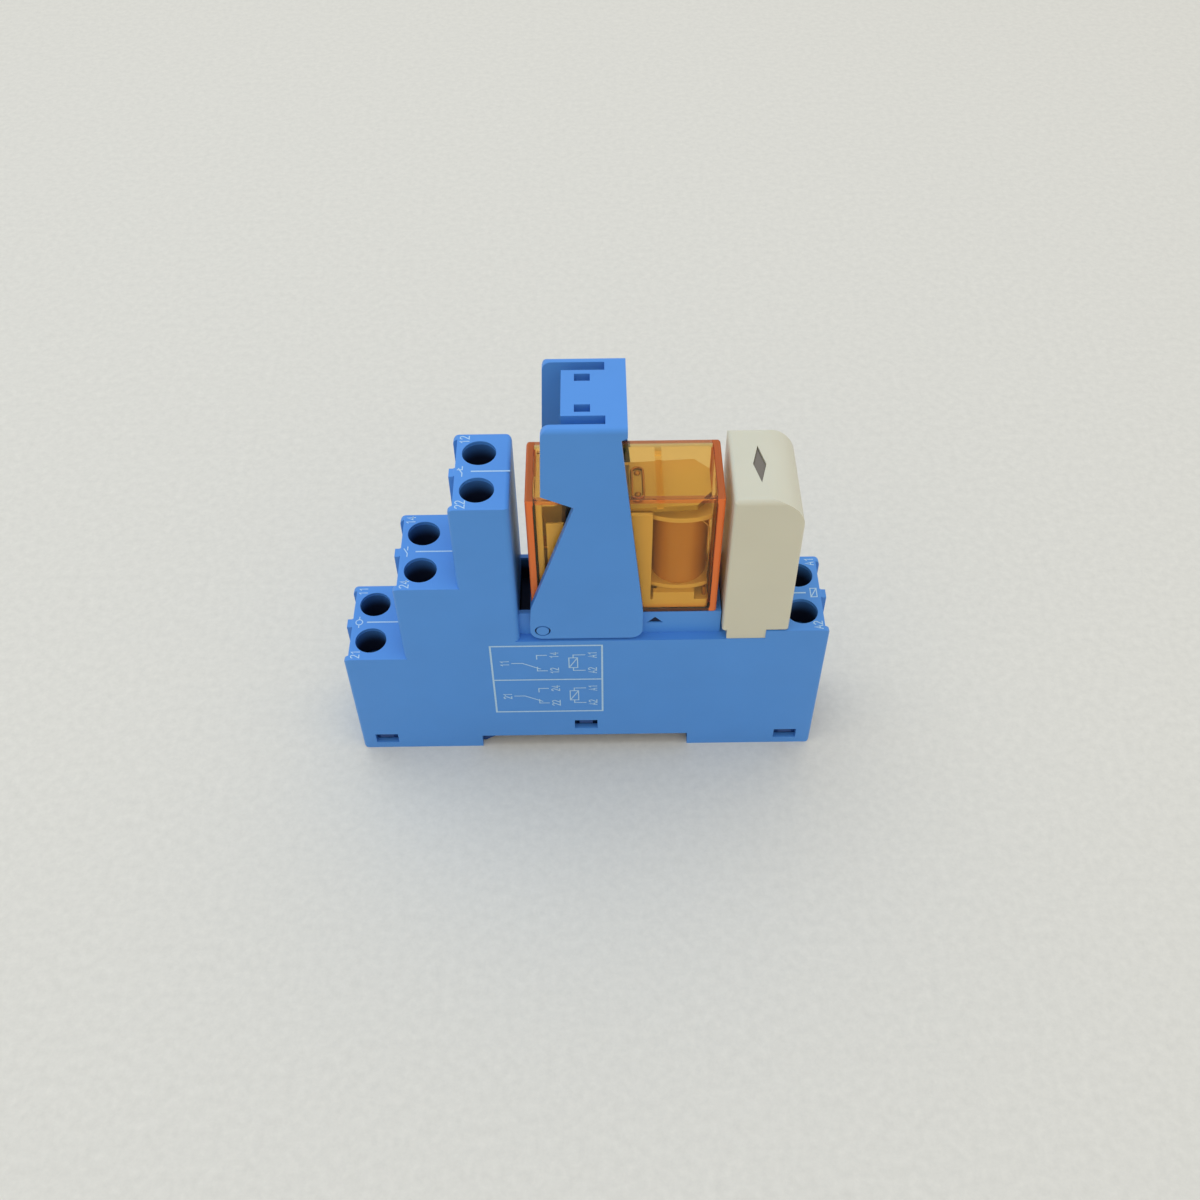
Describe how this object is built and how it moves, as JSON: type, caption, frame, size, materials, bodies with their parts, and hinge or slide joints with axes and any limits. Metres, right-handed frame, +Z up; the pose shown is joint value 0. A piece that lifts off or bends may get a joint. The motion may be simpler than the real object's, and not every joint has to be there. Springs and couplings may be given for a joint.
{
  "type": "plug-in relay with socket",
  "caption": "Slim plug-in relay with a clear amber cover, held by a swing-over clip in a stepped blue rail socket with screw terminals and an indicator module.",
  "frame": {"origin": "on the plane under the feet, below the middle of the socket", "axes": "+X along the socket from the contact terminals to the coil terminals, +Y across the two poles, +Z up, away from the rail"},
  "size_m": [0.0786, 0.0158, 0.0743],
  "materials": {
    "socket_blue": "fine matt moulding",
    "shade_blue": "fine matt moulding",
    "spring_steel": "drawn strip",
    "plated_steel": "zinc plated",
    "copper_alloy": "tinned stamping",
    "clear_amber": "clear tinted moulding",
    "relay_yellow": "moulded",
    "coil_wire": "enamelled wire in close turns",
    "soft_iron": "nickel plated",
    "module_cream": "fine matt moulding",
    "smoked_lens": "smooth",
    "board_laminate": "coated laminate",
    "lamp_resin": "clear resin",
    "diode_case": "moulded",
    "resistor_coat": "lacquered"
  },
  "bodies": {
    "socket": {"socket_housing": "socket_blue", "base_plate": "shade_blue", "latch_spring": "spring_steel", "contact_bar_22": "copper_alloy", "contact_bar_12": "copper_alloy", "contact_bar_24": "copper_alloy", "contact_bar_14": "copper_alloy", "contact_bar_21": "copper_alloy", "contact_bar_11": "copper_alloy", "contact_bar_a2": "copper_alloy", "contact_bar_a1": "copper_alloy"},
    "latch": {"rail_latch": "shade_blue"},
    "clip": {"retaining_clip": "socket_blue"},
    "relay": {"relay_cover": "clear_amber", "relay_base": "relay_yellow", "coil_bobbin": "relay_yellow", "coil_winding": "coil_wire", "coil_core": "soft_iron", "yoke": "soft_iron", "make_contact_1": "copper_alloy", "make_contact_2": "copper_alloy", "common_pin_1": "copper_alloy", "common_pin_2": "copper_alloy", "break_contact_1": "copper_alloy", "break_contact_2": "copper_alloy", "coil_pin_1": "copper_alloy", "coil_pin_2": "copper_alloy"},
    "armature": {"armature": "soft_iron", "contact_card": "relay_yellow"},
    "blades": {"common_blade_1": "copper_alloy", "common_blade_2": "copper_alloy"},
    "module": {"module_housing": "module_cream", "module_base": "module_cream", "module_lens": "smoked_lens", "module_board": "board_laminate", "module_led": "lamp_resin", "module_diode": "diode_case", "module_resistor": "resistor_coat", "module_pin_1": "copper_alloy", "module_pin_2": "copper_alloy"},
    "screw_22": {"terminal_screw_22": "plated_steel"},
    "screw_12": {"terminal_screw_12": "plated_steel"},
    "screw_24": {"terminal_screw_24": "plated_steel"},
    "screw_14": {"terminal_screw_14": "plated_steel"},
    "screw_21": {"terminal_screw_21": "plated_steel"},
    "screw_11": {"terminal_screw_11": "plated_steel"},
    "screw_a2": {"terminal_screw_a2": "plated_steel"},
    "screw_a1": {"terminal_screw_a1": "plated_steel"},
    "cage_22": {"clamp_cage_22": "plated_steel"},
    "cage_12": {"clamp_cage_12": "plated_steel"},
    "cage_24": {"clamp_cage_24": "plated_steel"},
    "cage_14": {"clamp_cage_14": "plated_steel"},
    "cage_21": {"clamp_cage_21": "plated_steel"},
    "cage_11": {"clamp_cage_11": "plated_steel"},
    "cage_a2": {"clamp_cage_a2": "plated_steel"},
    "cage_a1": {"clamp_cage_a1": "plated_steel"}
  },
  "joints": [
    {"name": "clip_swing", "type": "hinge", "parent": "socket", "child": "clip", "pos_m": [-0.0065, 0, 0.0317], "axis": [0, -1, 0], "range_deg": [0, 18]},
    {"name": "relay_lift", "type": "slide", "parent": "socket", "child": "relay", "axis": [0, 0, 1], "range_m": [0, 0.0008]},
    {"name": "armature_tilt", "type": "hinge", "parent": "relay", "child": "armature", "pos_m": [0.00995, 0, 0.05555], "axis": [0, 1, 0], "range_deg": [0, 3.3], "stiffness_Nm_per_rad": 0.005, "springref_deg": -11.46},
    {"name": "blade_flex", "type": "hinge", "parent": "relay", "child": "blades", "pos_m": [-0.0011, 0, 0.0383], "axis": [0, 1, 0], "range_deg": [-6, 0]},
    {"name": "module_pull", "type": "slide", "parent": "socket", "child": "module", "axis": [0, 0, 1], "range_m": [0, 0.012]},
    {"name": "latch_slide", "type": "slide", "parent": "socket", "child": "latch", "axis": [1, 0, 0], "range_m": [0, 0.0025], "stiffness_N_per_m": 400, "springref_m": -0.001, "deforming": ["latch_spring"]},
    {"name": "screw_turn_22", "type": "hinge", "parent": "socket", "child": "screw_22", "pos_m": [-0.015, -0.00385, 0.0538], "axis": [0, 0, -1], "range_deg": [0, 1800]},
    {"name": "cage_rise_22", "type": "slide", "parent": "socket", "child": "cage_22", "axis": [0, 0, 1], "range_m": [0, 0.0025]},
    {"name": "screw_turn_12", "type": "hinge", "parent": "socket", "child": "screw_12", "pos_m": [-0.015, 0.00385, 0.0538], "axis": [0, 0, -1], "range_deg": [0, 1800]},
    {"name": "cage_rise_12", "type": "slide", "parent": "socket", "child": "cage_12", "axis": [0, 0, 1], "range_m": [0, 0.0025]},
    {"name": "screw_turn_24", "type": "hinge", "parent": "socket", "child": "screw_24", "pos_m": [-0.025, -0.00385, 0.0366], "axis": [0, 0, -1], "range_deg": [0, 1800]},
    {"name": "cage_rise_24", "type": "slide", "parent": "socket", "child": "cage_24", "axis": [0, 0, 1], "range_m": [0, 0.0025]},
    {"name": "screw_turn_14", "type": "hinge", "parent": "socket", "child": "screw_14", "pos_m": [-0.025, 0.00385, 0.0366], "axis": [0, 0, -1], "range_deg": [0, 1800]},
    {"name": "cage_rise_14", "type": "slide", "parent": "socket", "child": "cage_14", "axis": [0, 0, 1], "range_m": [0, 0.0025]},
    {"name": "screw_turn_21", "type": "hinge", "parent": "socket", "child": "screw_21", "pos_m": [-0.035, -0.00385, 0.0194], "axis": [0, 0, -1], "range_deg": [0, 1800]},
    {"name": "cage_rise_21", "type": "slide", "parent": "socket", "child": "cage_21", "axis": [0, 0, 1], "range_m": [0, 0.0025]},
    {"name": "screw_turn_11", "type": "hinge", "parent": "socket", "child": "screw_11", "pos_m": [-0.035, 0.00385, 0.0194], "axis": [0, 0, -1], "range_deg": [0, 1800]},
    {"name": "cage_rise_11", "type": "slide", "parent": "socket", "child": "cage_11", "axis": [0, 0, 1], "range_m": [0, 0.0025]},
    {"name": "screw_turn_a2", "type": "hinge", "parent": "socket", "child": "screw_a2", "pos_m": [0.035, -0.00385, 0.0255], "axis": [0, 0, -1], "range_deg": [0, 1800]},
    {"name": "cage_rise_a2", "type": "slide", "parent": "socket", "child": "cage_a2", "axis": [0, 0, 1], "range_m": [0, 0.0025]},
    {"name": "screw_turn_a1", "type": "hinge", "parent": "socket", "child": "screw_a1", "pos_m": [0.035, 0.00385, 0.0255], "axis": [0, 0, -1], "range_deg": [0, 1800]},
    {"name": "cage_rise_a1", "type": "slide", "parent": "socket", "child": "cage_a1", "axis": [0, 0, 1], "range_m": [0, 0.0025]}
  ],
  "couplings": [
    {"joint": "clip_swing", "follows": "relay_lift", "rad_per_m": 392.69},
    {"joint": "blade_flex", "follows": "armature_tilt", "ratio": -1.39},
    {"joint": "screw_turn_22", "follows": "cage_rise_22", "rad_per_m": 12566},
    {"joint": "screw_turn_12", "follows": "cage_rise_12", "rad_per_m": 12566},
    {"joint": "screw_turn_24", "follows": "cage_rise_24", "rad_per_m": 12566},
    {"joint": "screw_turn_14", "follows": "cage_rise_14", "rad_per_m": 12566},
    {"joint": "screw_turn_21", "follows": "cage_rise_21", "rad_per_m": 12566},
    {"joint": "screw_turn_11", "follows": "cage_rise_11", "rad_per_m": 12566},
    {"joint": "screw_turn_a2", "follows": "cage_rise_a2", "rad_per_m": 12566},
    {"joint": "screw_turn_a1", "follows": "cage_rise_a1", "rad_per_m": 12566}
  ]
}
